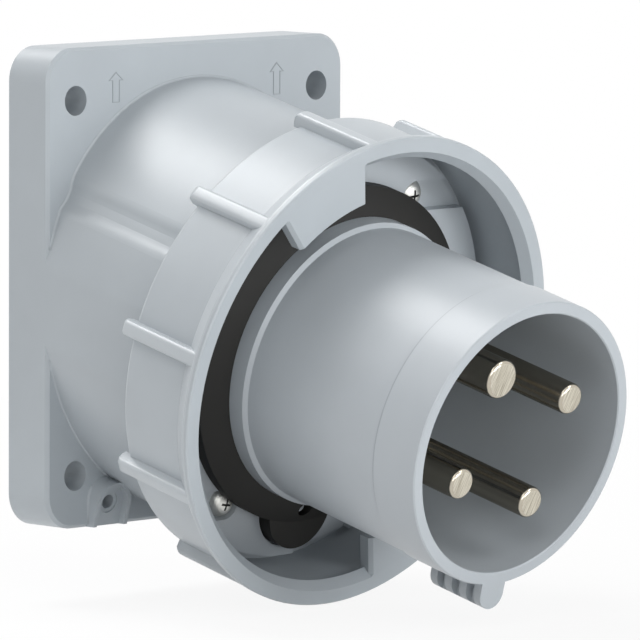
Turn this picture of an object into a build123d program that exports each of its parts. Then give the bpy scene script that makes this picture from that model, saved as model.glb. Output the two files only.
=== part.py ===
"""Angled panel mount power plug: a round four-pin inlet with a bayonet locking ring.

The origin is the centre of the flange's back face, which lies against the panel.
+Z is up, the flange faces -Y, and the plug axis leaves the origin tilted down.
Places along the plug axis are distances from the origin, in millimetres.
"""

import math
import os

from build123d import *

os.makedirs("parts", exist_ok=True)

# Flange
flange_height = 120.4
flange_thickness = 14.0
flange_corner = 8.5
flange_edge = 0.8
bolt_inset_x = 9.6
bolt_inset_z = 13.2
bolt_hole = 7.5

# Plug axis, and the lengths along it
plug_tilt = 14.5
neck_length = 50.9
journal_length = 5.1
plate_thickness = 4.0
ring_reach = 21.6
sleeve_length = 75.5
contact_length = 74.0

# Sleeve: the bore is the driving size, and the radii outside it follow from it
bore_radius = 33.45
sleeve_wall = 2.65
band_step = 0.5
band_length = 14.2
rim_edge = 0.3
collar_step = 1.1
collar_length = 11.3
collar_chamfer = 0.8
gasket_width = 7.0
spigot_wall = 7.05
spigot_length = 7.0
spigot_clearance = 5.5
stop_ledge_rise = 8.0
stop_ledge_length = 2.0
stop_ledge_depth = 1.95

# Key below the sleeve
key_width = 8.0
key_height = 6.4
key_length = 17.5
key_web = 3.0
key_fin = 2.4
key_fins = 4

# Neck, cut flat on both sides where the flange ends
neck_wall = 7.0
neck_flat = 0.9
flute_radius = 8.0
flute_depth = 1.1
flute_angle = 30.4
flute_round = 5.5

# Locking ring
journal_step = 1.0
ring_play = 0.3
ring_slack = 0.2
ring_thickness = 5.95
ring_wall = 1.7
bead_height = 3.15
bead_length = 6.4
bead_lead = 4.8
bead_edge = 0.35
lip_depth = 2.4
lip_back_step = 1.05
lip_front_step = 0.65
ring_edge = 0.7
rib_count = 10
rib_first_angle = 29.35
rib_width = 3.8
rib_height = 2.75
rib_nose = 1.2
rib_overhang = 2.1
rib_edge = 0.5
ledge_gap = 2.6
ledge_thickness = 3.8
ledge_first_angle = 105.3
ledge_sweep_angle = 28.3
ledge_lead = 0.9

# The ring's turn, and the lug that stops it at each end
ring_turn_angle = 45.0
stop_angle = 90.0
stop_sweep_angle = 6.0
stop_height = 1.8
stop_rise = 1.5
stop_gap_angle = 0.5

# The sleeve's plate, and the notch in its edge
plate_overhang = 2.2
notch_first_angle = 274.3
notch_sweep_angle = 20.7

# Screws that hold the sleeve's plate to the neck
insert_screw_inset = 6.5
insert_screw_angle = 59.25
insert_screw_radius = 1.75
insert_screw_length = 12.0
insert_head_radius = 3.2
insert_head_height = 2.2
insert_head_edge = 0.8
insert_recess_depth = 1.0
insert_slot_width = 0.9
insert_slot_length = 3.6
pocket_width = 8.0
pocket_depth = 2.4
screw_boss_radius = 4.4
screw_boss_length = 18.0
screw_clearance = 0.25

# Seals
gasket_thickness = 3.5
gasket_rise = 3.2
gasket_fit = 0.05
tab_radius = 10.5
tab_inset = 3.2
tab_hole = 2.2
tab_hole_rise = 0.8
tab_peg = 1.45
tab_peg_drop = 0.3
tab_gap = 0.4
tab_seat_depth = 2.0
body_seal_inset = 2.4
body_seal_section = 1.5
seal_groove_gap = 0.25
flange_seal_distance = 3.2
flange_seal_section = 2.0
flange_seal_groove_gap = 0.2

# Contacts and what holds them
contact_circle = 19.3
contact_fit = 0.05
contact_tip_edge = 1.1
line_radius = 4.0
earth_radius = 5.0
contact_seat = 0.5
contact_seat_rise = 0.3
contact_collar = 2.3
contact_collar_length = 3.0
barrel_wall = 2.6
barrel_length = 25.0
wire_bore = 3.6
wire_depth = 17.0
carrier_play = 0.25
carrier_thickness = 12.0
carrier_plate_thickness = 4.0
carrier_plate_step = 0.5
earth_angle = 120.0
line_1_angle = 30.0
line_2_angle = 300.0
line_3_angle = 210.0

# Screws that clamp the conductors
clamp_screw_radius = 2.5
clamp_screw_rise = 1.6
clamp_screw_inset = 8.0
clamp_slot_width = 0.9
clamp_slot_depth = 1.2
clamp_pad_width = 4.4
clamp_pad_length = 8.0
clamp_pad_thickness = 1.0
clamp_pad_seat = 2.6

# Screws that hold the contact carriers in the sleeve
carrier_screw_count = 3
carrier_screw_angle = 75.0
carrier_screw_radius = 1.5
carrier_screw_length = 9.0
carrier_head_radius = 2.7
carrier_head_height = 2.0

# Lanyard boss below the neck, left of the middle
boss_x = -32.2
boss_inset = 5.4
boss_radius = 5.8
boss_rise = 3.4
boss_rim = 1.1
boss_recess = 2.0
boss_hole = 1.85
boss_dish_radius = 2.8
boss_dish_depth = 0.4
boss_hole_depth = 9.0

# How far one form runs into another that it joins or cuts, and how closely a place is matched
overlap = 1.0
match = 0.01

# Places that follow from the sizes above
tilt = math.radians(plug_tilt)
axis_direction = (0, -math.cos(tilt), -math.sin(tilt))
plug_plane = Plane(origin=(0, 0, 0), x_dir=(1, 0, 0), z_dir=axis_direction)
plug_axis = Axis((0, 0, 0), axis_direction)
# On this plane local x is the radius and local y the place along the plug axis.
section_plane = Plane(origin=(0, 0, 0), x_dir=(1, 0, 0), z_dir=(0, math.sin(tilt), -math.cos(tilt)))
shoulder_place = neck_length
plate_place = shoulder_place + journal_length
plate_front = plate_place + plate_thickness
ring_front = plate_place + ring_reach
rim_place = plate_place + sleeve_length
contact_tip_place = plate_place + contact_length
sleeve_radius = bore_radius + sleeve_wall
band_radius = sleeve_radius + band_step
key_radius = band_radius + key_height
collar_radius = sleeve_radius + collar_step
gasket_radius = collar_radius + gasket_width
spigot_radius = bore_radius + spigot_wall
cavity_radius = spigot_radius + spigot_clearance
neck_radius = cavity_radius + neck_wall
flange_width = 2 * (neck_radius - neck_flat)
journal_radius = neck_radius - journal_step
ring_bore = journal_radius + ring_play
ring_radius = ring_bore + ring_thickness
ring_recess = ring_radius - ring_wall
bead_radius = ring_radius + bead_height
plate_radius = ring_bore + plate_overhang
body_seal_radius = journal_radius - body_seal_inset
tab_centre = gasket_radius - tab_inset
ring_back = shoulder_place + ring_slack * 2
ring_shelf = plate_place - ring_slack
bead_back = ring_front - bead_length
gasket_front = plate_front + gasket_thickness
stop_ledge_place = plate_place + stop_ledge_rise
carrier_back = stop_ledge_place - carrier_thickness
spigot_back = plate_place - spigot_length
barrel_place = carrier_back - barrel_length
clamp_screw_place = barrel_place + clamp_screw_inset
behind_flange = neck_radius * math.tan(tilt) + overlap
boss_z = boss_inset - flange_height / 2
# The flange's seal runs round the opening, which the tilt makes taller than it is wide.
flange_seal_width = 2 * (cavity_radius + flange_seal_distance)
flange_seal_height = 2 * (cavity_radius / math.cos(tilt) + flange_seal_distance)
flange_seal_corner = cavity_radius
insert_screw_circle = journal_radius - insert_screw_inset
insert_screw_x = insert_screw_circle * math.cos(math.radians(insert_screw_angle))
insert_screw_z = insert_screw_circle * math.sin(math.radians(insert_screw_angle))
carrier_screw_circle = (bore_radius + spigot_radius) / 2
insert_screw_places = [
    (side * insert_screw_x, level * insert_screw_z) for side in (-1, 1) for level in (-1, 1)
]


def across(place):
    """The plane square to the plug axis at a place along it."""
    return plug_plane.offset(place)


def ring_sector(inner, outer, start, sweep):
    """A flat ring sector from radius inner to outer, anticlockwise from the start angle."""
    with BuildSketch() as sector:
        with BuildLine():
            arc_in = CenterArc((0, 0), inner, start, sweep)
            arc_out = CenterArc((0, 0), outer, start, sweep)
            Line(arc_in @ 0, arc_out @ 0)
            Line(arc_in @ 1, arc_out @ 1)
        make_face()
    return sector.sketch


def save(part, name):
    """Label a finished sub-part and write its STEP file."""
    part.label = name
    export_step(part, "parts/" + name + ".step")


# Neck: the outer form of the housing, from the panel to the plate's seat
with BuildPart() as neck:
    with BuildSketch(across(-behind_flange)) as neck_outline:
        Circle(neck_radius)
        # The neck is no wider than the flange, so its sides run on flush from the flange's sides.
        Rectangle(flange_width, 2 * neck_radius, mode=Mode.INTERSECT)
        flute_centre = neck_radius + flute_radius - flute_depth
        with PolarLocations(flute_centre, 2, flute_angle, 180 - 2 * flute_angle, endpoint=True):
            Circle(flute_radius, mode=Mode.SUBTRACT)
        fillet(neck_outline.vertices(), flute_round)
    extrude(amount=behind_flange + shoulder_place)
    with BuildSketch(across(0)):
        Circle(journal_radius)
    extrude(amount=plate_place)
    with BuildSketch(across(shoulder_place)):
        add(ring_sector(
            journal_radius - overlap, journal_radius + stop_rise,
            stop_angle - stop_sweep_angle / 2, stop_sweep_angle,
        ))
    extrude(amount=stop_height)
    Box(
        flange_width * 2, plate_place, flange_height * 2,
        align=(Align.CENTER, Align.MIN, Align.CENTER), mode=Mode.SUBTRACT,
    )

# Housing: the flange, and the hollow neck that leads to the plug
with BuildPart() as housing:
    with BuildSketch(Plane.XZ):
        RectangleRounded(flange_width, flange_height, flange_corner)
    extrude(amount=flange_thickness)
    chamfer(housing.faces().sort_by(Axis.Y)[0].edges(), flange_edge)
    add(neck.part)
    # Lanyard boss: an arch in front of the flange, square to the plug axis
    boss_plane = Plane(origin=(boss_x, -flange_thickness - boss_rise, boss_z),
                       x_dir=(1, 0, 0), z_dir=axis_direction)
    with BuildSketch(boss_plane):
        Circle(boss_radius)
        with Locations((0, -boss_radius)):
            Rectangle(boss_radius * 2, boss_radius * 2)
    extrude(amount=-flange_thickness)
    recess_radius = boss_radius - boss_rim
    with BuildSketch(boss_plane):
        Circle(recess_radius)
        with Locations((0, -boss_radius)):
            Rectangle(recess_radius * 2, boss_radius * 2)
    extrude(amount=-boss_recess, mode=Mode.SUBTRACT)
    with Locations((boss_x, 0, -flange_height / 2)):
        Box(
            boss_radius * 3, flange_thickness * 2 + boss_rise * 4, boss_radius * 2,
            align=(Align.CENTER, Align.CENTER, Align.MAX), mode=Mode.SUBTRACT,
        )
    # Hollow of the neck, with the four screw bosses in it
    with BuildSketch(across(-behind_flange)):
        Circle(cavity_radius)
    extrude(amount=behind_flange + plate_place, mode=Mode.SUBTRACT)
    with BuildSketch(across(plate_place)):
        with Locations(*insert_screw_places):
            Circle(screw_boss_radius)
    extrude(amount=-screw_boss_length)
    with BuildSketch(across(plate_place)):
        with Locations(*insert_screw_places):
            Circle(insert_screw_radius)
    extrude(amount=-insert_screw_length, mode=Mode.SUBTRACT)
    with BuildSketch(across(plate_place)):
        Circle(body_seal_radius + body_seal_section / 2 + seal_groove_gap)
        Circle(body_seal_radius - body_seal_section / 2 - seal_groove_gap, mode=Mode.SUBTRACT)
    extrude(amount=-body_seal_section, mode=Mode.SUBTRACT)
    # Panel bolts and the seal groove round the opening
    with BuildSketch(Plane.XZ):
        with GridLocations(flange_width - 2 * bolt_inset_x, flange_height - 2 * bolt_inset_z, 2, 2):
            Circle(bolt_hole / 2)
    extrude(amount=flange_thickness, mode=Mode.SUBTRACT)
    groove = flange_seal_section / 2 + flange_seal_groove_gap
    with BuildSketch(Plane.XZ):
        RectangleRounded(
            flange_seal_width + 2 * groove, flange_seal_height + 2 * groove, flange_seal_corner + groove
        )
        RectangleRounded(
            flange_seal_width - 2 * groove, flange_seal_height - 2 * groove, flange_seal_corner - groove,
            mode=Mode.SUBTRACT,
        )
    extrude(amount=flange_seal_section, mode=Mode.SUBTRACT)
    with BuildSketch(boss_plane.offset(-boss_recess)):
        Circle(boss_dish_radius)
    extrude(amount=-boss_dish_depth, mode=Mode.SUBTRACT)
    with BuildSketch(boss_plane.offset(-boss_recess)):
        Circle(boss_hole)
    extrude(amount=-boss_hole_depth, mode=Mode.SUBTRACT)

# Locking ring: a ribbed collar that turns on the neck's journal, with two bayonet ledges
with BuildPart() as locking_ring:
    with BuildSketch(section_plane):
        with BuildLine():
            Polyline(
                (ring_bore, ring_back),
                (ring_radius - ring_edge, ring_back),
                (ring_radius, ring_back + ring_edge),
                (ring_radius, bead_back),
                (bead_radius, bead_back + bead_lead),
                (bead_radius, ring_front - bead_edge),
                (bead_radius - bead_edge, ring_front),
                (ring_radius - lip_front_step, ring_front),
                (ring_recess - lip_back_step, ring_front - lip_depth),
                (ring_recess, ring_front - lip_depth),
                (ring_recess, ring_shelf),
                (ring_bore, ring_shelf),
                close=True,
            )
        make_face()
    revolve(axis=plug_axis)
    with BuildSketch(across(ring_front - ledge_thickness)):
        for start in (ledge_first_angle, ledge_first_angle + 180):
            add(ring_sector(
                gasket_radius + ledge_gap, ring_recess + ring_wall / 2, start, ledge_sweep_angle
            ))
    extrude(amount=ledge_thickness)
    ledge_ends = locking_ring.edges().filter_by(GeomType.LINE).filter_by(
        lambda edge: abs(plug_plane.to_local_coords(edge.center()).Z - ring_front) < match
    )
    chamfer(ledge_ends, ledge_lead)
    rib_foot = ring_radius - ring_wall / 2
    rib_tip = ring_radius + rib_height
    with BuildSketch(across(ring_back - rib_overhang)) as rib_section:
        with PolarLocations((rib_foot + rib_tip) / 2, rib_count, rib_first_angle):
            Rectangle(rib_tip - rib_foot, rib_width)
        chamfer(rib_section.vertices(), rib_edge)
    extrude(amount=rib_overhang + bead_back + bead_lead - ring_back)
    rib_ends = locking_ring.faces().filter_by(plug_axis).group_by(plug_axis)[0]
    chamfer(rib_ends.edges().group_by(SortBy.LENGTH)[-1], rib_nose)
    with BuildSketch(across(ring_back)):
        add(ring_sector(
            ring_bore - overlap, ring_bore + stop_rise,
            stop_angle - stop_sweep_angle / 2 - stop_gap_angle,
            stop_sweep_angle + ring_turn_angle + 2 * stop_gap_angle,
        ))
    extrude(amount=stop_height, mode=Mode.SUBTRACT)

# Sleeve: the plug's shell with its base collar, key, plate and rear spigot
with BuildPart() as sleeve:
    with BuildSketch(section_plane):
        with BuildLine():
            Polyline(
                (bore_radius, spigot_back),
                (spigot_radius, spigot_back),
                (spigot_radius, plate_place),
                (plate_radius, plate_place),
                (plate_radius, plate_front),
                (collar_radius, plate_front),
                (collar_radius, plate_front + collar_length),
                (sleeve_radius, plate_front + collar_length + collar_chamfer),
                (sleeve_radius, rim_place - band_length),
                (band_radius, rim_place - band_length),
                (band_radius, rim_place),
                (bore_radius, rim_place),
                (bore_radius, stop_ledge_place + stop_ledge_length),
                (bore_radius - stop_ledge_depth, stop_ledge_place + stop_ledge_length),
                (bore_radius - stop_ledge_depth, stop_ledge_place),
                (bore_radius, stop_ledge_place),
                close=True,
            )
        make_face()
    revolve(axis=plug_axis)
    rim_edges = sleeve.edges().filter_by(GeomType.CIRCLE).group_by(plug_axis)[-1]
    chamfer(rim_edges, rim_edge)
    with BuildSketch(across(rim_place)):
        key_round = -key_radius + key_width / 2
        with Locations((0, key_round)):
            Circle(key_width / 2)
            Rectangle(key_width, -key_round - bore_radius, align=(Align.CENTER, Align.MIN))
        Circle((bore_radius + band_radius) / 2, mode=Mode.SUBTRACT)
    extrude(amount=-key_length)
    # The key's flanks are relieved between its fins.
    fin_step = (key_length - key_fin) / (key_fins - 1)
    for fin in range(key_fins - 1):
        with BuildSketch(across(rim_place - key_fin - fin * fin_step)):
            with Locations((-key_width / 2, -key_radius), (key_width / 2, -key_radius)):
                Rectangle(key_width - key_web, 2 * (key_radius - band_radius))
        extrude(amount=-(fin_step - key_fin), mode=Mode.SUBTRACT)
    # Screw pockets open sideways at the plate's edge.
    with BuildSketch(across(plate_front)):
        for x, z in insert_screw_places:
            reach = plate_radius - insert_screw_x
            with Locations((x + math.copysign(reach / 2, x), z)):
                Rectangle(reach, pocket_width)
            with Locations((x, z)):
                Circle(pocket_width / 2)
    extrude(amount=-pocket_depth, mode=Mode.SUBTRACT)
    with BuildSketch(across(plate_front)):
        with Locations(*insert_screw_places):
            Circle(insert_screw_radius + screw_clearance)
    extrude(amount=-plate_thickness, mode=Mode.SUBTRACT)
    # Seat for the gasket's tab, with a notch beside it in the plate's edge
    with BuildSketch(across(plate_front)):
        with Locations((0, -tab_centre)):
            Circle(tab_radius + tab_gap)
        Circle(collar_radius, mode=Mode.SUBTRACT)
    extrude(amount=-tab_seat_depth, mode=Mode.SUBTRACT)
    with BuildSketch(across(plate_front)):
        add(ring_sector(ring_bore, plate_radius + overlap, notch_first_angle, notch_sweep_angle))
    extrude(amount=-plate_thickness, mode=Mode.SUBTRACT)
    # Peg that stands in the tab's hole
    with BuildSketch(across(plate_front - tab_seat_depth)):
        with Locations((0, tab_hole_rise - tab_centre)):
            Circle(tab_peg)
    extrude(amount=tab_seat_depth + gasket_thickness - tab_peg_drop)
    # Pilot holes in the spigot for the carrier screws
    with BuildSketch(across(spigot_back)):
        with PolarLocations(carrier_screw_circle, carrier_screw_count, carrier_screw_angle):
            Circle(carrier_screw_radius)
    extrude(amount=carrier_screw_length, mode=Mode.SUBTRACT)

# Front gasket: it seals against the mating connector, with a round tab below
with BuildPart() as front_gasket:
    gasket_bore = collar_radius + gasket_fit
    with BuildSketch(section_plane):
        with BuildLine():
            Polyline(
                (gasket_bore, plate_front),
                (gasket_radius, plate_front),
                (gasket_radius, gasket_front),
                (gasket_bore, gasket_front + gasket_rise),
                close=True,
            )
        make_face()
    revolve(axis=plug_axis)
    with BuildSketch(across(plate_front - tab_seat_depth)):
        with Locations((0, -tab_centre)):
            Circle(tab_radius)
        Circle(gasket_bore, mode=Mode.SUBTRACT)
    extrude(amount=tab_seat_depth + gasket_thickness)
    with BuildSketch(across(plate_front - tab_seat_depth)):
        with Locations((0, tab_hole_rise - tab_centre)):
            Circle(tab_hole)
    extrude(amount=tab_seat_depth + gasket_thickness + gasket_rise, mode=Mode.SUBTRACT)

# Body seal: the ring in the neck's front groove, under the sleeve's plate
with BuildPart() as body_seal:
    with BuildSketch(section_plane):
        with Locations((body_seal_radius, plate_place - body_seal_section / 2)):
            Rectangle(body_seal_section, body_seal_section)
    revolve(axis=plug_axis)

# Flange seal: the cord in the groove of the flange's back face
with BuildPart() as flange_seal:
    with BuildSketch(Plane.XZ):
        RectangleRounded(
            flange_seal_width + flange_seal_section, flange_seal_height + flange_seal_section,
            flange_seal_corner + flange_seal_section / 2,
        )
        RectangleRounded(
            flange_seal_width - flange_seal_section, flange_seal_height - flange_seal_section,
            flange_seal_corner - flange_seal_section / 2, mode=Mode.SUBTRACT,
        )
    extrude(amount=flange_seal_section)

# Contacts: every pin is a turned piece with a collar and a rear barrel for the conductor
contacts = {"pin_earth": (earth_radius, earth_angle)}
for number, angle in enumerate((line_1_angle, line_2_angle, line_3_angle), start=1):
    contacts["pin_line_" + str(number)] = (line_radius, angle)


def contact_point(angle):
    """Local x and y of a contact's centre on a plane square to the plug axis."""
    return (
        contact_circle * math.cos(math.radians(angle)),
        contact_circle * math.sin(math.radians(angle)),
    )


# Contact carrier: the moulded disc that the pins pass through
with BuildPart() as contact_carrier:
    with BuildSketch(across(carrier_back)):
        Circle(bore_radius - carrier_play)
        for radius, angle in contacts.values():
            with Locations(contact_point(angle)):
                Circle(radius + contact_seat + contact_fit, mode=Mode.SUBTRACT)
    extrude(amount=carrier_thickness)
    with BuildSketch(across(carrier_back)):
        for radius, angle in contacts.values():
            with Locations(contact_point(angle)):
                Circle(radius + contact_collar + contact_fit)
    extrude(amount=contact_collar_length, mode=Mode.SUBTRACT)

# Carrier plate: closes the contact carrier from behind and seats on the spigot
with BuildPart() as carrier_plate:
    with BuildSketch(across(spigot_back - carrier_plate_thickness)):
        Circle(spigot_radius - carrier_plate_step)
    extrude(amount=carrier_plate_thickness)
    with BuildSketch(across(spigot_back)):
        Circle(bore_radius - carrier_play)
    extrude(amount=carrier_back - spigot_back)
    with BuildSketch(across(spigot_back - carrier_plate_thickness)):
        for radius, angle in contacts.values():
            with Locations(contact_point(angle)):
                Circle(radius + barrel_wall)
        with PolarLocations(carrier_screw_circle, carrier_screw_count, carrier_screw_angle):
            Circle(carrier_screw_radius + screw_clearance)
    extrude(amount=carrier_plate_thickness + carrier_back - spigot_back, mode=Mode.SUBTRACT)


# Contact pins, each thicker where it sits in the carrier
seat_front = stop_ledge_place + contact_seat_rise
for name, (radius, angle) in contacts.items():
    barrel = radius + barrel_wall - contact_fit
    pin_plane = across(0)
    pin_origin = pin_plane.from_local_coords((*contact_point(angle), 0))
    pin_section = Plane(origin=pin_origin, x_dir=(1, 0, 0), z_dir=section_plane.z_dir)
    pin_axis = Axis(pin_origin, axis_direction)
    with BuildPart() as contact:
        with BuildSketch(pin_section):
            with BuildLine():
                Polyline(
                    (0, barrel_place + wire_depth),
                    (wire_bore, barrel_place + wire_depth),
                    (wire_bore, barrel_place),
                    (barrel, barrel_place),
                    (barrel, carrier_back),
                    (radius + contact_collar, carrier_back),
                    (radius + contact_collar, carrier_back + contact_collar_length),
                    (radius + contact_seat, carrier_back + contact_collar_length),
                    (radius + contact_seat, seat_front),
                    (radius, seat_front),
                    (radius, contact_tip_place - contact_tip_edge),
                    (radius - contact_tip_edge, contact_tip_place),
                    (0, contact_tip_place),
                    close=True,
                )
            make_face()
        revolve(axis=pin_axis)
        # Threaded hole for the clamp screw, on the side away from the plug axis
        outward = plug_plane.from_local_coords((*contact_point(angle), 1)) - pin_plane.origin
        outward -= plug_plane.z_dir
        screw_plane = Plane(
            origin=pin_origin + plug_plane.z_dir * clamp_screw_place, x_dir=plug_plane.z_dir,
            z_dir=outward,
        )
        with BuildSketch(screw_plane):
            Circle(clamp_screw_radius)
        extrude(amount=2 * barrel, mode=Mode.SUBTRACT)
    save(contact.part, name)

    # Pressure pad: lies in the wire bore under the screw
    pad_plane = screw_plane.offset(clamp_pad_seat - clamp_pad_thickness)
    with BuildPart() as clamp_pad:
        with BuildSketch(pad_plane):
            Rectangle(clamp_pad_length, clamp_pad_width)
        extrude(amount=clamp_pad_thickness)
    save(clamp_pad.part, name.replace("pin", "clamp_pad"))

    # Clamp screw: a slotted grub screw that stands on the pad
    with BuildPart() as clamp_screw:
        with BuildSketch(screw_plane.offset(clamp_pad_seat)):
            Circle(clamp_screw_radius - contact_fit)
        extrude(amount=barrel + clamp_screw_rise - clamp_pad_seat)
        with BuildSketch(screw_plane.offset(barrel + clamp_screw_rise)):
            Rectangle(2 * clamp_screw_radius, clamp_slot_width)
        extrude(amount=-clamp_slot_depth, mode=Mode.SUBTRACT)
    save(clamp_screw.part, name.replace("pin", "clamp_screw"))

# Insert screws: pan heads with a cross recess, seated in the pockets of the sleeve's plate
head_seat = plate_front - pocket_depth
with BuildPart() as insert_screws:
    with BuildSketch(across(head_seat)):
        with Locations(*insert_screw_places):
            Circle(insert_head_radius)
    extrude(amount=insert_head_height)
    chamfer(insert_screws.faces().group_by(plug_axis)[-1].edges(), insert_head_edge)
    with BuildSketch(across(head_seat + insert_head_height)):
        with Locations(*insert_screw_places):
            Rectangle(insert_slot_length, insert_slot_width)
            Rectangle(insert_slot_width, insert_slot_length)
    extrude(amount=-insert_recess_depth, mode=Mode.SUBTRACT)
    with BuildSketch(across(head_seat)):
        with Locations(*insert_screw_places):
            Circle(insert_screw_radius - contact_fit)
    extrude(amount=-insert_screw_length)
save(insert_screws.part, "insert_screws")

# Carrier screws: clamp the carrier plate to the sleeve's spigot
carrier_screw_seat = spigot_back - carrier_plate_thickness
with BuildPart() as carrier_screws:
    with BuildSketch(across(carrier_screw_seat)):
        with PolarLocations(carrier_screw_circle, carrier_screw_count, carrier_screw_angle):
            Circle(carrier_head_radius)
    extrude(amount=-carrier_head_height)
    with BuildSketch(across(carrier_screw_seat - carrier_head_height)):
        with PolarLocations(carrier_screw_circle, carrier_screw_count, carrier_screw_angle):
            Rectangle(2 * carrier_head_radius, clamp_slot_width)
    extrude(amount=clamp_slot_depth, mode=Mode.SUBTRACT)
    with BuildSketch(across(carrier_screw_seat)):
        with PolarLocations(carrier_screw_circle, carrier_screw_count, carrier_screw_angle):
            Circle(carrier_screw_radius - contact_fit)
    extrude(amount=carrier_screw_length)
save(carrier_screws.part, "carrier_screws")

save(housing.part, "housing")
save(locking_ring.part, "locking_ring")
save(sleeve.part, "sleeve")
save(front_gasket.part, "front_gasket")
save(body_seal.part, "body_seal")
save(flange_seal.part, "flange_seal")
save(contact_carrier.part, "contact_carrier")
save(carrier_plate.part, "carrier_plate")
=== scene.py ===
"""Angled panel mount power plug: finishes, fine pieces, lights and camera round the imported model."""

import math

import bmesh
import bpy
from mathutils import Matrix, Vector


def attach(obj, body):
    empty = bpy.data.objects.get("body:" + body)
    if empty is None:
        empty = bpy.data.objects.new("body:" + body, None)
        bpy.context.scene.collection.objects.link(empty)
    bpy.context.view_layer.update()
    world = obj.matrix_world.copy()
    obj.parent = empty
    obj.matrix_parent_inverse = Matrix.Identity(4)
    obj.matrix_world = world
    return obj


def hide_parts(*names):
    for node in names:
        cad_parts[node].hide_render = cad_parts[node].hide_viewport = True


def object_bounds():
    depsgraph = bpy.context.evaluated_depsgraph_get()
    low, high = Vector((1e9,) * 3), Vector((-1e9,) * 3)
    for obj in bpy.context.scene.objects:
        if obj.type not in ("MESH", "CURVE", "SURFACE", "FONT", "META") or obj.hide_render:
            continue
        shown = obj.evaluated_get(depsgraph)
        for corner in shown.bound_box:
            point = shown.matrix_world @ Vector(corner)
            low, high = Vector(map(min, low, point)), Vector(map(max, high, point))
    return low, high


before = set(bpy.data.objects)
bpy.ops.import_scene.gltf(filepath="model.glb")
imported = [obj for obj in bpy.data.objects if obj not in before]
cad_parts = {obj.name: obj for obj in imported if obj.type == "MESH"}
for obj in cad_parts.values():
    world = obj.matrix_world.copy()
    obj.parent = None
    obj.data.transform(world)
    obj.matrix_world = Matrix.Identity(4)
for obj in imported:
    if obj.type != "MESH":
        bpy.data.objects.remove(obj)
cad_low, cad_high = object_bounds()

MM = 0.001
scene = bpy.context.scene
scene.view_settings.view_transform = "Standard"

# The plug is tilted down by this angle. Its own directions are side, out along its axis, and up.
PLUG_TILT = math.radians(14.5)
PLUG_SIDE = Vector((1, 0, 0))
PLUG_OUT = Vector((0, -math.cos(PLUG_TILT), -math.sin(PLUG_TILT)))
PLUG_UP = Vector((0, -math.sin(PLUG_TILT), math.cos(PLUG_TILT)))
# Turns a shape that stands on +Z so that it stands on the plug's axis, as a matrix and as angles.
PLUG_FRAME = Matrix((PLUG_SIDE, PLUG_UP, PLUG_OUT)).transposed().to_4x4()
PLUG_TURN = (PLUG_TILT + math.pi / 2, 0, 0)

# Sizes in millimetres, angles in degrees. A PLACE is a distance out along the plug's axis.
FLANGE_THICKNESS = 14.0
FOOT_FILLET = 0.45
FOOT_MIN_RADIUS = 45.0
ARROW_STEM = 2.3
ARROW_HEAD = 4.6
ARROW_LINE = 0.22
ARROW_RISE = 0.12
PIN_CIRCLE = 19.3
PIN_EDGE_PLACE = 128.9
PIN_FACE_PLACE = 130.0
SLEEVE_RADIUS = 36.1
BAND_PLACE = 117.3
SEAM_WIDTH = 0.75
SEAM_LAP = 0.05
SCREW_SEAT_PLACE = 57.6
# Each insert screw's distance from the plug's axis, across and up
SCREW_ACROSS = 23.26
SCREW_UP = 39.10
RING_RADIUS = 58.25
RING_EDGE_ROUND = 0.75
RING_BACK_PLACE = 51.3
RING_FRONT_PLACE = 77.6
RIM_RADIUS = 61.4
RIM_BACK_PLACE = 71.2
RIM_STEP_ROUND = 0.3
RIB_COUNT = 10
RIB_FIRST_ANGLE = 29.35
RIB_HALF_WIDTH = 1.98
RIB_ROUND = 1.1
RIB_FOOT = 57.35
RIB_TOP = 61.2
RIB_NOSE_PLACE = 50.75
RIB_NOSE_RADIUS = 1.6
LEDGE_STARTS = (105.6, 285.6)
LEDGE_SWEEP = 27.7
LEDGE_STEPS = 24
LEDGE_ROOT_RADII = (57.2, 57.85)
LEDGE_ROOT_DEPTH = 0.5
LEDGE_ROOT_RISE = 0.015
BRUSH_LEAN = 17
# How deep a fine piece is let into the solid that carries it, and how far it stands proud of it
SUNK = 0.3
PROUD = 0.03
# A point this near to a pin's end face or edge belongs to it.
NEAR = 0.05
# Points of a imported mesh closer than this, in metres, are one point.
WELD = 2e-6


def on_plug(side, out, up):
    """A place in metres from millimetres across, out along and up the tilted plug."""
    return (PLUG_SIDE * side + PLUG_OUT * out + PLUG_UP * up) * MM


def linear(hex_colour):
    """An sRGB hex colour as linear RGBA."""
    parts = [int(hex_colour[i:i + 2], 16) / 255 for i in (1, 3, 5)]
    return (*[p / 12.92 if p <= 0.04045 else ((p + 0.055) / 1.055) ** 2.4 for p in parts], 1.0)


def add_node(tree, kind, sockets=None, **settings):
    """Adds a node. Sockets give inputs, by name or number, a value or another node's output."""
    made = tree.nodes.new(kind)
    for name, value in settings.items():
        setattr(made, name, value)
    for name, value in (sockets or {}).items():
        if isinstance(value, bpy.types.NodeSocket):
            tree.links.new(value, made.inputs[name])
        else:
            made.inputs[name].default_value = value
    return made


def new_finish(name):
    """An empty material and its node tree."""
    material = bpy.data.materials.new(name)
    material.use_nodes = True
    material.node_tree.nodes.clear()
    return material, material.node_tree


# Finishes

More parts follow.
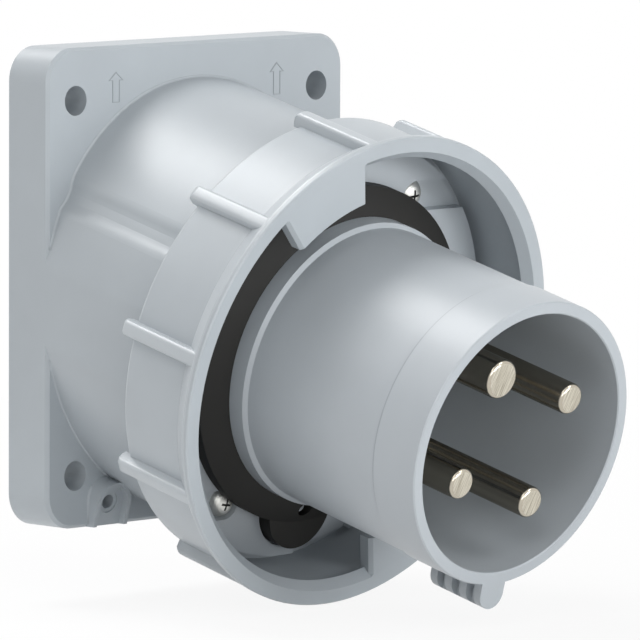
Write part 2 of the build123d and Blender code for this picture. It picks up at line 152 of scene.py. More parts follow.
def moulded_polyamide(name, pale, deep, roughness, grain_mm=0.5, relief_mm=0.008):
    """Injection-moulded polyamide: satin, with a fine eroded-mould grain and faint flow clouds."""
    material, tree = new_finish(name)
    place = add_node(tree, "ShaderNodeTexCoord").outputs["Object"]
    flow = add_node(tree, "ShaderNodeTexNoise", {
        "Vector": place, "Scale": 1 / (30 * MM), "Detail": 3.0, "Roughness": 0.55})
    grain = add_node(tree, "ShaderNodeTexNoise", {
        "Vector": place, "Scale": 1 / (grain_mm * MM), "Detail": 2.0, "Roughness": 0.6})
    tint = add_node(tree, "ShaderNodeMix", {
        0: flow.outputs["Fac"], 6: linear(deep), 7: linear(pale)}, data_type="RGBA")
    sheen = add_node(tree, "ShaderNodeMapRange", {
        "Value": grain.outputs["Fac"], "To Min": roughness - 0.06, "To Max": roughness + 0.06})
    relief = add_node(tree, "ShaderNodeBump", {
        "Height": grain.outputs["Fac"], "Strength": 0.35, "Distance": relief_mm * MM})
    shader = add_node(tree, "ShaderNodeBsdfPrincipled", {
        "Base Color": tint.outputs[2], "Roughness": sheen.outputs["Result"], "IOR": 1.53,
        "Normal": relief.outputs["Normal"]})
    add_node(tree, "ShaderNodeOutputMaterial", {"Surface": shader.outputs["BSDF"]})
    return material


def moulded_rubber(name, pale, deep, roughness):
    """Moulded synthetic rubber: near black, dull, with a soft grain that catches a grey sheen."""
    material, tree = new_finish(name)
    place = add_node(tree, "ShaderNodeTexCoord").outputs["Object"]
    bloom = add_node(tree, "ShaderNodeTexNoise", {
        "Vector": place, "Scale": 1 / (9 * MM), "Detail": 4.0, "Roughness": 0.6})
    grain = add_node(tree, "ShaderNodeTexNoise", {
        "Vector": place, "Scale": 1 / (0.6 * MM), "Detail": 2.0, "Roughness": 0.7})
    tint = add_node(tree, "ShaderNodeMix", {
        0: bloom.outputs["Fac"], 6: linear(deep), 7: linear(pale)}, data_type="RGBA")
    sheen = add_node(tree, "ShaderNodeMapRange", {
        "Value": bloom.outputs["Fac"], "To Min": roughness - 0.08, "To Max": roughness + 0.08})
    relief = add_node(tree, "ShaderNodeBump", {
        "Height": grain.outputs["Fac"], "Strength": 0.4, "Distance": 0.02 * MM})
    shader = add_node(tree, "ShaderNodeBsdfPrincipled", {
        "Base Color": tint.outputs[2], "Roughness": sheen.outputs["Result"], "IOR": 1.42,
        "Normal": relief.outputs["Normal"]})
    add_node(tree, "ShaderNodeOutputMaterial", {"Surface": shader.outputs["BSDF"]})
    return material


def turned_nickel(name, shank, face):
    """Nickel-plated turned brass: a shank and the outer part of its rounded edge darkened as a painted
    reflection of the dark socket, and a pale end face with a brushed lay.
    """
    material, tree = new_finish(name)
    place = add_node(tree, "ShaderNodeTexCoord").outputs["Object"]
    along = add_node(tree, "ShaderNodeVectorMath", {0: place, 1: tuple(PLUG_OUT)},
                     operation="DOT_PRODUCT")
    # Where the end face begins, and before it the rounded edge, out along the plug's axis
    at_face = add_node(tree, "ShaderNodeMapRange", {
        "Value": along.outputs["Value"], "From Min": (PIN_FACE_PLACE - 0.06) * MM,
        "From Max": (PIN_FACE_PLACE - 0.02) * MM})
    at_edge = add_node(tree, "ShaderNodeMapRange", {
        "Value": along.outputs["Value"], "From Min": (PIN_EDGE_PLACE + 0.4) * MM,
        "From Max": (PIN_EDGE_PLACE + 0.65) * MM})
    # Brush lines lean across the face, about 0.25 mm apart, drawn coarser than the real lay.
    leaning = add_node(tree, "ShaderNodeVectorRotate", {
        "Vector": place, "Axis": tuple(PLUG_OUT), "Angle": math.radians(BRUSH_LEAN)},
        rotation_type="AXIS_ANGLE")
    lay_place = add_node(tree, "ShaderNodeMapping", {
        "Vector": leaning.outputs["Vector"], "Scale": (1 / (0.25 * MM), 1 / (9 * MM), 1 / (9 * MM))})
    lay = add_node(tree, "ShaderNodeTexNoise", {
        "Vector": lay_place.outputs["Vector"], "Scale": 1.0, "Detail": 3.0, "Roughness": 0.75})
    # Turning marks go round the shank, so they change only along the plug's axis.
    turning = add_node(tree, "ShaderNodeTexNoise", {
        "W": add_node(tree, "ShaderNodeMath", {
            0: along.outputs["Value"], 1: 1 / (0.5 * MM)}, operation="MULTIPLY").outputs[0],
        "Scale": 1.0, "Detail": 3.0}, noise_dimensions="1D")
    marks = add_node(tree, "ShaderNodeMix", {
        0: at_face.outputs["Result"], 2: turning.outputs["Fac"], 3: lay.outputs["Fac"]})
    lay_depth = add_node(tree, "ShaderNodeMapRange", {
        "Value": lay.outputs["Fac"], "From Min": 0.36, "From Max": 0.6})
    face_tint = add_node(tree, "ShaderNodeMix", {
        0: lay_depth.outputs["Result"], 6: linear("#A49C8C"), 7: linear(face)}, data_type="RGBA")
    # The shank and the outer part of the rounded edge are painted dark, a painted reflection of the
    # dark socket; the pale edge tint begins nearer the end face.
    side_painted_reflection = add_node(tree, "ShaderNodeMix", {
        0: at_edge.outputs["Result"], 6: linear(shank), 7: linear("#BEB7A8")}, data_type="RGBA")
    tint = add_node(tree, "ShaderNodeMix", {
        0: at_face.outputs["Result"], 6: side_painted_reflection.outputs[2], 7: face_tint.outputs[2]},
        data_type="RGBA")
    # The edge between shank and face is buffed, so it is the shiniest part.
    sheen = add_node(tree, "ShaderNodeMix", {0: at_edge.outputs["Result"], 2: 0.2, 3: 0.16})
    sheen = add_node(tree, "ShaderNodeMix", {
        0: at_face.outputs["Result"], 2: sheen.outputs[0], 3: 0.34})
    relief = add_node(tree, "ShaderNodeBump", {
        "Height": marks.outputs[0], "Strength": 0.2, "Distance": 0.01 * MM})
    shader = add_node(tree, "ShaderNodeBsdfPrincipled", {
        "Base Color": tint.outputs[2], "Metallic": 1.0, "Roughness": sheen.outputs[0],
        "Normal": relief.outputs["Normal"]})
    add_node(tree, "ShaderNodeOutputMaterial", {"Surface": shader.outputs["BSDF"]})
    return material


def zinc_steel(name, pale, deep, roughness):
    """Zinc-plated steel: bright, slightly cloudy, with fine handling scratches."""
    material, tree = new_finish(name)
    place = add_node(tree, "ShaderNodeTexCoord").outputs["Object"]
    cloud = add_node(tree, "ShaderNodeTexNoise", {
        "Vector": place, "Scale": 1 / (2.5 * MM), "Detail": 4.0, "Roughness": 0.65})
    scratch_place = add_node(tree, "ShaderNodeMapping", {
        "Vector": place, "Rotation": (0.4, 0.9, 0.3),
        "Scale": (1 / (0.25 * MM), 1 / (3 * MM), 1 / (3 * MM))})
    scratch = add_node(tree, "ShaderNodeTexNoise", {
        "Vector": scratch_place.outputs["Vector"], "Scale": 1.0, "Detail": 2.0})
    tint = add_node(tree, "ShaderNodeMix", {
        0: cloud.outputs["Fac"], 6: linear(deep), 7: linear(pale)}, data_type="RGBA")
    sheen = add_node(tree, "ShaderNodeMapRange", {
        "Value": cloud.outputs["Fac"], "To Min": roughness - 0.06, "To Max": roughness + 0.08})
    relief = add_node(tree, "ShaderNodeBump", {
        "Height": scratch.outputs["Fac"], "Strength": 0.3, "Distance": 0.01 * MM})
    shader = add_node(tree, "ShaderNodeBsdfPrincipled", {
        "Base Color": tint.outputs[2], "Metallic": 1.0, "Roughness": sheen.outputs["Result"],
        "Normal": relief.outputs["Normal"]})
    add_node(tree, "ShaderNodeOutputMaterial", {"Surface": shader.outputs["BSDF"]})
    return material


# Light grey moulded polyamide: satin, each moulding a shade apart as in the real plug
housing_polyamide = moulded_polyamide("housing_polyamide", "#B4BBC0", "#A7ADB2", 0.37)
ring_polyamide = moulded_polyamide("ring_polyamide", "#B9C0C5", "#ACB2B7", 0.36)
sleeve_polyamide = moulded_polyamide("sleeve_polyamide", "#BAC0C5", "#AEB4B9", 0.37)
# Mid grey moulded polyamide of the contact carrier: darker and duller
carrier_polyamide = moulded_polyamide("carrier_polyamide", "#8A9096", "#7C8288", 0.48)
# The same light polyamide on a rounded edge: paler as a painted highlight, glossier, with no grain
edge_painted_highlight = moulded_polyamide("edge_painted_highlight", "#C0C6CA", "#B5BBC0", 0.3, relief_mm=0.0)
# The same light polyamide in a thin line of the mould: a shade darker as painted shade, and duller
seam_painted_shade = moulded_polyamide("seam_painted_shade", "#A7ADB3", "#9DA3A9", 0.45)
arrow_painted_shade = moulded_polyamide("arrow_painted_shade", "#9CA2A7", "#949A9F", 0.45)
# Black moulded rubber of the seals: dull, so the bright sleeve hardly mirrors in it
seal_rubber = moulded_rubber("seal_rubber", "#232220", "#191816", 0.66)
# Nickel-plated turned brass: a warm grey shank, darkened as a painted reflection of the dark socket,
# beside its pale end face
pin_nickel = turned_nickel("pin_nickel", "#827D72", "#DAD5C6")
# Zinc-plated steel: bright screw heads, their recess painted darker as painted shade, and duller
# stamped pads
screw_zinc = zinc_steel("screw_zinc", "#F0F0EB", "#D8D8D2", 0.45)
recess_painted_shade = zinc_steel("recess_painted_shade", "#7A7A75", "#5E5E5A", 0.5)
pad_zinc = zinc_steel("pad_zinc", "#BEBEB8", "#94948E", 0.34)

node_finishes = {
    "housing": housing_polyamide,
    "locking_ring": ring_polyamide,
    "sleeve": sleeve_polyamide,
    "contact_carrier": carrier_polyamide,
    "carrier_plate": carrier_polyamide,
    "front_gasket": seal_rubber,
    "body_seal": seal_rubber,
    "flange_seal": seal_rubber,
    "insert_screws": screw_zinc,
    "carrier_screws": screw_zinc,
}
for contact in ("earth", "line_1", "line_2", "line_3"):
    node_finishes["pin_" + contact] = pin_nickel
    node_finishes["clamp_screw_" + contact] = screw_zinc
    node_finishes["clamp_pad_" + contact] = pad_zinc
for name, finish in node_finishes.items():
    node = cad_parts[name]
    node.data.materials.clear()
    node.data.materials.append(finish)


# Pieces
def new_piece(name, mesh, finish=None):
    """A piece that sits at the origin, with its place in its mesh."""
    piece = bpy.data.objects.new(name, mesh)
    scene.collection.objects.link(piece)
    if finish:
        mesh.materials.append(finish)
    return piece


def plain_mesh(piece):
    """The piece's mesh with its modifiers worked in."""
    bpy.context.view_layer.update()
    shaped = piece.evaluated_get(bpy.context.evaluated_depsgraph_get())
    return bpy.data.meshes.new_from_object(shaped)


def arc(centre, radius, first, last, steps=6):
    """Points in millimetres on an arc from the first to the last angle, in degrees."""
    turns = [math.radians(first + (last - first) * i / steps) for i in range(steps + 1)]
    return [(centre[0] + radius * math.cos(t), centre[1] + radius * math.sin(t)) for t in turns]


def skin(shape, rows, caps=True):
    """Joins rows of points, each a closed outline, into a tube, and closes its ends with caps."""
    for here, there in zip(rows, rows[1:]):
        for k in range(len(here)):
            shape.faces.new((here[k - 1], here[k], there[k], there[k - 1]))
    if caps:
        shape.faces.new(rows[0])
        shape.faces.new(list(reversed(rows[-1])))


def mesh_from(shape, name, smooth_to=None):
    """The finished mesh of a bmesh, faces outwards, smooth where it bends less than this angle."""
    bmesh.ops.recalc_face_normals(shape, faces=shape.faces)
    mesh = bpy.data.meshes.new(name)
    shape.to_mesh(mesh)
    shape.free()
    if smooth_to:
        mesh.polygons.foreach_set("use_smooth", [True] * len(mesh.polygons))
        mesh.set_sharp_from_angle(angle=math.radians(smooth_to))
    return mesh


def turned_shape(name, outline, steps=40, smooth_to=None):
    """Turns an outline of (radius, height) points in millimetres about +Z into a closed mesh."""
    shape = bmesh.new()
    rim = [shape.verts.new((r * MM, 0, z * MM)) for r, z in outline]
    edges = [shape.edges.new(pair) for pair in zip(rim, rim[1:])]
    bmesh.ops.spin(shape, geom=rim + edges, cent=(0, 0, 0), axis=(0, 0, 1),
                   angle=math.tau, steps=steps, use_merge=True)
    bmesh.ops.remove_doubles(shape, verts=shape.verts, dist=1e-6)
    return mesh_from(shape, name, smooth_to)


def cross_punch(reach, half_width, top, bottom, taper):
    """The punch that presses a cross recess: a cross that narrows towards its foot."""
    arm = [(half_width, half_width), (half_width, reach), (-half_width, reach)]
    cross = []
    for turn in range(4):
        for x, y in arm:
            for _ in range(turn):
                x, y = -y, x
            cross.append((x, y))
    shape = bmesh.new()
    skin(shape, [[shape.verts.new((x * wide * MM, y * wide * MM, place * MM)) for x, y in cross]
                 for wide, place in ((taper, bottom), (1, top))])
    return mesh_from(shape, "cross_punch")


def new_tree(name, inputs, output):
    """A Geometry Nodes tree with named inputs and one output of geometry, and its input sockets."""
    tree = bpy.data.node_groups.new(name, "GeometryNodeTree")
    for socket_name, socket_kind in inputs:
        tree.interface.new_socket(socket_name, in_out="INPUT", socket_type=socket_kind)
    tree.interface.new_socket(output, in_out="OUTPUT", socket_type="NodeSocketGeometry")
    return tree, add_node(tree, "NodeGroupInput").outputs


def piece_from_tree(tree, name, values):
    """A piece that the tree makes from these input values, as a plain mesh."""
    piece = new_piece(name, bpy.data.meshes.new(name))
    setting = piece.modifiers.new("setting", "NODES")
    setting.node_group = tree
    for socket in tree.interface.items_tree:
        if socket.in_out == "INPUT":
            setting[socket.identifier] = values[socket.name]
    piece.data = plain_mesh(piece)
    piece.modifiers.clear()
    return piece


# Pan-head screw: head seat at height 0, shank below it
pan_screw = new_piece("pan_screw", turned_shape("pan_screw", [
    (0, 2.6), (0.9, 2.55), (1.7, 2.39), (2.4, 2.11), (2.95, 1.72), (3.35, 1.24), (3.62, 0.7),
    (3.7, 0.25), (3.7, 0), (1.65, 0), (1.65, -12), (0, -12)]), screw_zinc)
punch = new_piece("punch", cross_punch(
    reach=1.9, half_width=0.36, top=3.4, bottom=1.2, taper=0.6), recess_painted_shade)
recess = pan_screw.modifiers.new("recess", "BOOLEAN")
recess.operation = "DIFFERENCE"
recess.solver = "EXACT"
recess.material_mode = "TRANSFER"
recess.object = punch
pan_screw.data = plain_mesh(pan_screw)
pan_screw.modifiers.clear()
bpy.data.objects.remove(punch)

# The four insert screws stand in a rectangle on the sleeve's plate, each turned a little.
screw_tree, given = new_tree("four_screws", (
    ("Screw", "NodeSocketObject"), ("Across", "NodeSocketFloat"), ("Up", "NodeSocketFloat"),
    ("Seed", "NodeSocketInt"), ("Finish", "NodeSocketMaterial"),
    ("Recess", "NodeSocketMaterial")), "Screws")
corners = add_node(screw_tree, "GeometryNodeMeshGrid", {
    "Size X": given["Across"], "Size Y": given["Up"], "Vertices X": 2, "Vertices Y": 2})
# The least and most that a screw is turned about its own axis, in radians
least_turn, most_turn = (0, 0, -0.2), (0, 0, 0.12)
turned = add_node(screw_tree, "FunctionNodeRandomValue", {
    0: least_turn, 1: most_turn, "Seed": given["Seed"]}, data_type="FLOAT_VECTOR")
one_screw = add_node(screw_tree, "GeometryNodeObjectInfo", {"Object": given["Screw"]})
screws = add_node(screw_tree, "GeometryNodeInstanceOnPoints", {
    "Points": corners.outputs["Mesh"], "Instance": one_screw.outputs["Geometry"],
    "Rotation": turned.outputs[0]})
seated = add_node(screw_tree, "GeometryNodeTransform", {
    "Geometry": screws.outputs["Instances"], "Translation": on_plug(0, SCREW_SEAT_PLACE, 0),
    "Rotation": PLUG_TURN})
solid = add_node(screw_tree, "GeometryNodeRealizeInstances", {0: seated.outputs[0]})
# The recess keeps the punch's darker finish, which is painted shade.
in_recess = add_node(screw_tree, "GeometryNodeMaterialSelection", {0: given["Recess"]})
outside = add_node(screw_tree, "FunctionNodeBooleanMath", {0: in_recess.outputs[0]},
                   operation="NOT")
finished = add_node(screw_tree, "GeometryNodeSetMaterial", {
    "Geometry": solid.outputs[0], "Selection": outside.outputs[0],
    "Material": given["Finish"]})
add_node(screw_tree, "NodeGroupOutput", {0: finished.outputs[0]})

insert_pan_screws = piece_from_tree(screw_tree, "insert_pan_screws", {
    "Screw": pan_screw, "Across": 2 * SCREW_ACROSS * MM, "Up": 2 * SCREW_UP * MM,
    "Seed": 7, "Finish": screw_zinc, "Recess": recess_painted_shade})
bpy.data.objects.remove(pan_screw)
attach(insert_pan_screws, "body")
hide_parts("insert_screws")


def grown(outline, by):
    """A closed outline of 2-D points, listed anticlockwise, with each side moved out by a length."""
    moved = []
    for before, here, after in zip(outline[-1:] + outline[:-1], outline, outline[1:] + outline[:1]):
        into = (Vector(here) - Vector(before)).normalized()
        away = (Vector(after) - Vector(here)).normalized()
        normal_in, normal_out = Vector((into.y, -into.x)), Vector((away.y, -away.x))
        corner = (normal_in + normal_out).normalized()
        moved.append(Vector(here) + corner * (by / corner.dot(normal_in)))
    return moved


# Mounting arrows: two arrows in thin raised line on the flange's front face, pointing up, in a darker
# finish that is painted shade
arrow_shape = bmesh.new()
for centre, foot, head, tip in ((-28.6, 46.0, 51.5, 53.5), (28.2, 45.4, 51.2, 53.4)):
    stem, side = ARROW_STEM / 2, ARROW_HEAD / 2
    outline = [(centre - stem, foot), (centre + stem, foot), (centre + stem, head),
               (centre + side, head), (centre, tip), (centre - side, head), (centre - stem, head)]
    rings = []
    for by, out in ((-0.5, -SUNK), (-0.5, ARROW_RISE), (0.5, ARROW_RISE), (0.5, -SUNK)):
        rings.append([arrow_shape.verts.new((p.x * MM, -(FLANGE_THICKNESS + out) * MM, p.y * MM))
                      for p in grown(outline, by * ARROW_LINE)])
    skin(arrow_shape, rings + rings[:1], caps=False)
mounting_arrows = new_piece("mounting_arrows", mesh_from(arrow_shape, "mounting_arrows"),
                            arrow_painted_shade)
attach(mounting_arrows, "body")


# Contact pins: the CAD pins again, with their ends rounded over instead of chamfered
for name, degrees, radius in (("pin_earth", 120, 5.0), ("pin_line_1", 30, 4.0),
                              ("pin_line_2", 300, 4.0), ("pin_line_3", 210, 4.0)):
    pin_shape = bmesh.new()
    pin_shape.from_mesh(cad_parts[name].data)
    bmesh.ops.remove_doubles(pin_shape, verts=pin_shape.verts, dist=WELD)
    end_face = [v for v in pin_shape.verts if v.co.dot(PLUG_OUT) > (PIN_FACE_PLACE - NEAR) * MM]
    bmesh.ops.delete(pin_shape, geom=end_face, context="VERTS")
    axis_foot = on_plug(PIN_CIRCLE * math.cos(math.radians(degrees)), 0,
                        PIN_CIRCLE * math.sin(math.radians(degrees)))
    rim = []
    for v in pin_shape.verts:
        if v.co.dot(PLUG_OUT) > (PIN_EDGE_PLACE - NEAR) * MM:
            spoke = v.co - axis_foot
            rim.append((math.atan2(spoke.dot(PLUG_UP), spoke.x), v))
    rim.sort(key=lambda entry: entry[0])
    rows = [[v for _, v in rim]]
    edge_radius = PIN_FACE_PLACE - PIN_EDGE_PLACE
    for reach, place in arc((radius - edge_radius, PIN_EDGE_PLACE), edge_radius, 0, 90, 8)[1:]:
        rows.append([pin_shape.verts.new(
            axis_foot + on_plug(reach * math.cos(a), place, reach * math.sin(a)))
            for a, _ in rim])
    skin(pin_shape, rows, caps=False)
    pin_shape.faces.new(rows[-1])
    rounded_pin = new_piece("rounded_" + name,
                            mesh_from(pin_shape, "rounded_" + name, smooth_to=20), pin_nickel)
    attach(rounded_pin, "body")
    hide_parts(name)


# Band seam: the narrow witness line on the sleeve, just behind its thicker front band, painted a shade
# darker as a line of painted shade
seam_outline = [
    (SLEEVE_RADIUS - SUNK, BAND_PLACE - SEAM_WIDTH),
    (SLEEVE_RADIUS + PROUD, BAND_PLACE - SEAM_WIDTH + PROUD),
    (SLEEVE_RADIUS + PROUD, BAND_PLACE + SEAM_LAP), (SLEEVE_RADIUS - SUNK, BAND_PLACE + SEAM_LAP)]
band_seam = new_piece("band_seam", turned_shape(
    "band_seam", seam_outline + seam_outline[:1], steps=120), seam_painted_shade)
band_seam.data.transform(PLUG_FRAME)
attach(band_seam, "body")


# Ledge roots: thin webs that carry the ring's front face on over each bayonet ledge
root_shape = bmesh.new()
inner, outer = LEDGE_ROOT_RADII
deep, proud = RING_FRONT_PLACE - LEDGE_ROOT_DEPTH, RING_FRONT_PLACE + LEDGE_ROOT_RISE
root_outline = [(inner, deep), (inner, proud), (outer, proud), (outer, deep)]
for start in LEDGE_STARTS:
    turns = [math.radians(start + LEDGE_SWEEP * step / LEDGE_STEPS)
             for step in range(LEDGE_STEPS + 1)]
    skin(root_shape, [[
        root_shape.verts.new(on_plug(r * math.cos(turn), place, r * math.sin(turn)))
        for r, place in root_outline] for turn in turns])
ledge_roots = new_piece("ledge_roots", mesh_from(root_shape, "ledge_roots"), ring_polyamide)
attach(ledge_roots, "ring")


# Ring edges: the rounded rear edge of the ring's band, and the low step where its rim starts
rear_edge = [
    (RING_RADIUS - 1.05, RING_BACK_PLACE + 1),
    *arc((RING_RADIUS - RING_EDGE_ROUND, RING_BACK_PLACE + RING_EDGE_ROUND),
         RING_EDGE_ROUND + PROUD, -90, 0),
    (RING_RADIUS - 0.2, RING_BACK_PLACE + 1.2)]
rim_step = [
    (RING_RADIUS - 0.35, RIM_BACK_PLACE + 0.5), (RING_RADIUS - 0.35, RIM_BACK_PLACE - 0.25),
    *arc((RING_RADIUS + 0.1, RIM_BACK_PLACE + 0.05), RIM_STEP_ROUND, -90, -33),
    (RIM_RADIUS + PROUD, RIM_BACK_PLACE + 4.65), (RIM_RADIUS + PROUD, RIM_BACK_PLACE + 5.2),
    (RIM_RADIUS - 0.2, RIM_BACK_PLACE + 5.3)]
for name, outline in (("ring_rear_edge", rear_edge), ("ring_rim_step", rim_step)):
    edge_mesh = turned_shape(name, outline + outline[:1], steps=144, smooth_to=20)
    edge_mesh.transform(PLUG_FRAME)
    # The paler finish of these edges is a painted highlight.
    ring_edge = new_piece(name, edge_mesh, edge_painted_highlight)
    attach(ring_edge, "ring")


# Rib backs: each rib of the ring again, with a rounded back and nose over the plain chamfers
rib_shape = bmesh.new()
nose = arc((RIB_NOSE_PLACE, RIB_TOP - RIB_NOSE_RADIUS), RIB_NOSE_RADIUS, 180, 90)
sections = []
for place, top in (*nose, (RIM_BACK_PLACE + 4.5, RIB_TOP)):
    half = (RIB_HALF_WIDTH - RIB_ROUND, top - RIB_ROUND)
    outline = [(RIB_HALF_WIDTH, RIB_FOOT), *arc(half, RIB_ROUND, 0, 90),
               *arc((-half[0], half[1]), RIB_ROUND, 90, 180), (-RIB_HALF_WIDTH, RIB_FOOT)]
    sections.append([rib_shape.verts.new((x * MM, y * MM, place * MM)) for x, y in outline])
skin(rib_shape, sections)
# The rib backs take the paler edge finish too, a painted highlight.
one_rib = new_piece("one_rib", mesh_from(rib_shape, "one_rib", smooth_to=25), edge_painted_highlight)

rib_tree, given = new_tree("ribs_round_ring", (
    ("Rib", "NodeSocketObject"), ("Count", "NodeSocketInt"), ("First", "NodeSocketFloat"),
    ("Step", "NodeSocketFloat"), ("Finish", "NodeSocketMaterial")), "Ribs")
seats = add_node(rib_tree, "GeometryNodeMeshLine", {"Count": given["Count"], "Offset": (0, 0, 0)})
turn = add_node(rib_tree, "ShaderNodeMath", {
    0: add_node(rib_tree, "GeometryNodeInputIndex").outputs[0], 1: given["Step"],
    2: given["First"]}, operation="MULTIPLY_ADD")
turned = add_node(rib_tree, "ShaderNodeCombineXYZ", {"Z": turn.outputs[0]})
rib_source = add_node(rib_tree, "GeometryNodeObjectInfo", {"Object": given["Rib"]})
ribs = add_node(rib_tree, "GeometryNodeInstanceOnPoints", {
    "Points": seats.outputs["Mesh"], "Instance": rib_source.outputs["Geometry"],
    "Rotation": turned.outputs[0]})
seated = add_node(rib_tree, "GeometryNodeTransform", {
    "Geometry": ribs.outputs["Instances"], "Rotation": PLUG_TURN})
solid = add_node(rib_tree, "GeometryNodeRealizeInstances", {0: seated.outputs[0]})
finished = add_node(rib_tree, "GeometryNodeSetMaterial", {
    "Geometry": solid.outputs[0], "Material": given["Finish"]})
add_node(rib_tree, "NodeGroupOutput", {0: finished.outputs[0]})

# The one rib stands at 90 degrees, so the turns of the ribs are counted from there.
rib_backs = piece_from_tree(rib_tree, "rib_backs", {
    "Rib": one_rib, "Count": RIB_COUNT, "First": math.radians(RIB_FIRST_ANGLE - 90),
    "Step": math.tau / RIB_COUNT, "Finish": edge_painted_highlight})
bpy.data.objects.remove(one_rib)
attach(rib_backs, "ring")


# Foot line: the small hollow fillet where the neck's side leaves the flange's front face
housing_copy = bmesh.new()
housing_copy.from_mesh(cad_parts["housing"].data)
bmesh.ops.remove_doubles(housing_copy, verts=housing_copy.verts, dist=WELD)
# The edges of the flange's face that meet the neck's side, and then the runs that they make
foot_edges = []
for edge in housing_copy.edges:
    on_front = all(abs(v.co.y + FLANGE_THICKNESS * MM) < WELD for v in edge.verts)
    if on_front and len(edge.link_faces) == 2:
        front = [f for f in edge.link_faces if f.normal.y < -0.999]
        side = [f for f in edge.link_faces if abs(f.normal.dot(PLUG_OUT)) < 0.01]
        middle = (edge.verts[0].co + edge.verts[1].co) / 2
        from_axis = Vector((middle.x, middle.dot(PLUG_UP)))
        if len(front) == 1 and len(side) == 1 and from_axis.length > FOOT_MIN_RADIUS * MM:
            foot_edges.append(edge)
links = {}
for edge in foot_edges:
    for here, there in (edge.verts, reversed(edge.verts)):
        links.setdefault(here, []).append(there)
runs = []
while links:
    ends = [v for v in links if len(links[v]) == 1]
    here = ends[0] if ends else next(iter(links))
    run = [here]
    while here in links and links[here]:
        there = links[here].pop()
        links[there].remove(here)
        if not links[here]:
            del links[here]
        here = there
        run.append(here)
    links.pop(here, None)
    runs.append([v.co.copy() for v in run])
housing_copy.free()
foot_shape = bmesh.new()
for run in runs:
    closed = (run[0] - run[-1]).length < 1e-6
    points = run[:-1] if closed else run
    rows = []
    for i, point in enumerate(points):
        before = points[i - 1] if closed or i else point
        after = points[(i + 1) % len(points)] if closed or i + 1 < len(points) else point
        away = (after - before).cross(Vector((0, 1, 0))).normalized()
        if away.dot(Vector((point.x, 0, point.dot(PLUG_UP)))) < 0:
            away.negate()
        # A hollow curve from the flange's face to the neck's side, and a point sunk behind it
        across, along = away * (FOOT_FILLET * MM), PLUG_OUT * (FOOT_FILLET * MM)
        row = [point + across * (1 - t) ** 2 + along * t ** 2 for t in (0, 0.2, 0.4, 0.6, 0.8, 1)]
        row.append(point - away * (SUNK * MM) - PLUG_OUT * (SUNK * MM))
        rows.append([foot_shape.verts.new(p) for p in row])
    skin(foot_shape, rows + rows[:1] if closed else rows, caps=not closed)
foot_mesh = mesh_from(foot_shape, "neck_foot")
# Smooth shading for the faces that look forward, except those flat on the flange
foot_mesh.polygons.foreach_set("use_smooth", [
    -0.9999 < p.normal.y < 0 for p in foot_mesh.polygons])
neck_foot = new_piece("neck_foot", foot_mesh, housing_polyamide)
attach(neck_foot, "body")


def plain_view_share(tree):
    """1 for a ray from the camera, a reflection or a see-through surface, and 0 for other light."""
    rays = add_node(tree, "ShaderNodeLightPath").outputs
    seen = add_node(tree, "ShaderNodeMath", {
        0: rays["Is Camera Ray"], 1: rays["Is Glossy Ray"]}, operation="MAXIMUM")
    return add_node(tree, "ShaderNodeMath", {
        0: seen.outputs[0], 1: rays["Is Transmission Ray"]}, operation="MAXIMUM").outputs[0]


# Floor: pale, white to the camera where nothing shades it, and it keeps part of the shadow
floor_mesh = bpy.data.meshes.new("floor")
floor_half = 3.0
floor_level = cad_low.z - 0.5 * MM
floor_mesh.from_pydata(
    [(x, y, floor_level) for x, y in ((-floor_half, -floor_half), (floor_half, -floor_half),
                                      (floor_half, floor_half), (-floor_half, floor_half))],
    [], [(0, 1, 2, 3)])
floor = bpy.data.objects.new("floor", floor_mesh)
scene.collection.objects.link(floor)
floor_paper, tree = new_finish("floor_paper")
reach = add_node(tree, "ShaderNodeVectorMath", {
    0: add_node(tree, "ShaderNodeTexCoord").outputs["Object"]}, operation="LENGTH")
white_share = add_node(tree, "ShaderNodeMapRange", {
    "Value": reach.outputs["Value"], "From Min": 0.1, "From Max": 0.45,
    "To Min": 0.9, "To Max": 1.0})
share = add_node(tree, "ShaderNodeMath", {
    0: plain_view_share(tree), 1: white_share.outputs["Result"]}, operation="MULTIPLY")
paper = add_node(tree, "ShaderNodeBsdfDiffuse", {"Color": linear("#F4F4F4")})
glow = add_node(tree, "ShaderNodeEmission", {"Color": (1, 1, 1, 1), "Strength": 1.0})
surface = add_node(tree, "ShaderNodeMixShader", {
    0: share.outputs[0], 1: paper.outputs[0], 2: glow.outputs[0]})
add_node(tree, "ShaderNodeOutputMaterial", {"Surface": surface.outputs[0]})
floor_mesh.materials.append(floor_paper)

# World: a soft even studio, plain white where the camera or a reflection sees it
world = bpy.data.worlds.new("studio")
scene.world = world
world.use_nodes = True
tree = world.node_tree
tree.nodes.clear()
level = add_node(tree, "ShaderNodeMapRange", {
    "Value": plain_view_share(tree), "To Min": 0.26, "To Max": 1.0})
sky = add_node(tree, "ShaderNodeBackground", {
    "Color": (1, 1, 1, 1), "Strength": level.outputs["Result"]})
add_node(tree, "ShaderNodeOutputWorld", {"Surface": sky.outputs[0]})

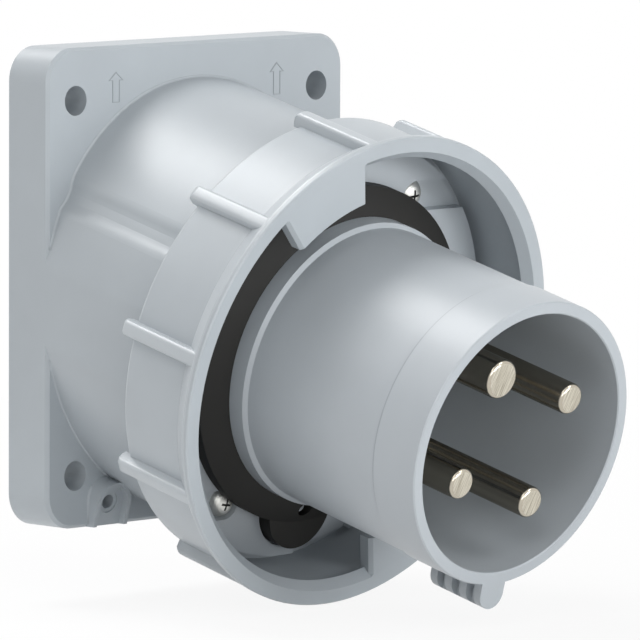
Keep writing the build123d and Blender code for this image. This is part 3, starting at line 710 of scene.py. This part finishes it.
# Lamps: each is a soft panel aimed at the plug's middle, from this far away in x, y and z
plug_middle = on_plug(0, 70, 0)
for name, offset, size, power, colour in (
    ("high_back_panel", (-0.135, 0.667, 1.335), 0.7, 11.5, (1, 1, 1)),
    ("rear_panel", (0.11, 1.05, 1.07), 0.8, 2.5, (1, 1, 1)),
    ("left_back_panel", (-0.9, 0.6, 1.1), 0.9, 3.5, (1, 1, 1)),
    ("high_front_panel", (0.4, -1.04, 1.0), 0.42, 2.4, (1, 1, 1)),
    ("front_panel", (0.3, -1.7, -0.02), 0.9, 23.5, (0.97, 0.99, 1)),
    ("front_left_panel", (-0.9, -1.45, 0.0), 0.9, 6, (0.97, 0.99, 1)),
    ("key_panel", (-1.3, -0.83, 1.3), 0.9, 5.2, (1, 1, 1)),
):
    lamp = bpy.data.lights.new(name, "AREA")
    lamp.shape = "SQUARE"
    lamp.size = size
    lamp.energy = power
    lamp.color = colour
    holder = bpy.data.objects.new(name, lamp)
    holder.location = plug_middle + Vector(offset)
    holder.rotation_mode = "QUATERNION"
    holder.rotation_quaternion = (-Vector(offset)).to_track_quat("-Z", "Y")
    scene.collection.objects.link(holder)

# Camera: where the photograph was taken from
azimuth, elevation, roll = (math.radians(a) for a in (-45.29, 5.576, 0.259))
back = Vector((math.sin(azimuth) * math.cos(elevation), -math.cos(azimuth) * math.cos(elevation),
               math.sin(elevation)))
level_right = Vector((0, 0, 1)).cross(back).normalized()
level_up = back.cross(level_right)
right = level_right * math.cos(roll) + level_up * math.sin(roll)
up = level_up * math.cos(roll) - level_right * math.sin(roll)
camera = bpy.data.objects.new("camera", bpy.data.cameras.new("camera"))
camera.data.sensor_width = 36
camera.data.lens = 471.4
camera.data.clip_end = 20
# In millimetres: the point that it faces, how far off it stands, and its shift left and down
facing, distance, shift_left, shift_down = Vector((0, -67.3, 0)), 2083.6, 6.75, 6.77
camera_place = facing + back * distance - right * shift_left - up * shift_down
camera_turn = Matrix((right, up, back)).transposed().to_4x4()
camera.matrix_world = Matrix.Translation(camera_place * MM) @ camera_turn
scene.collection.objects.link(camera)
scene.camera = camera
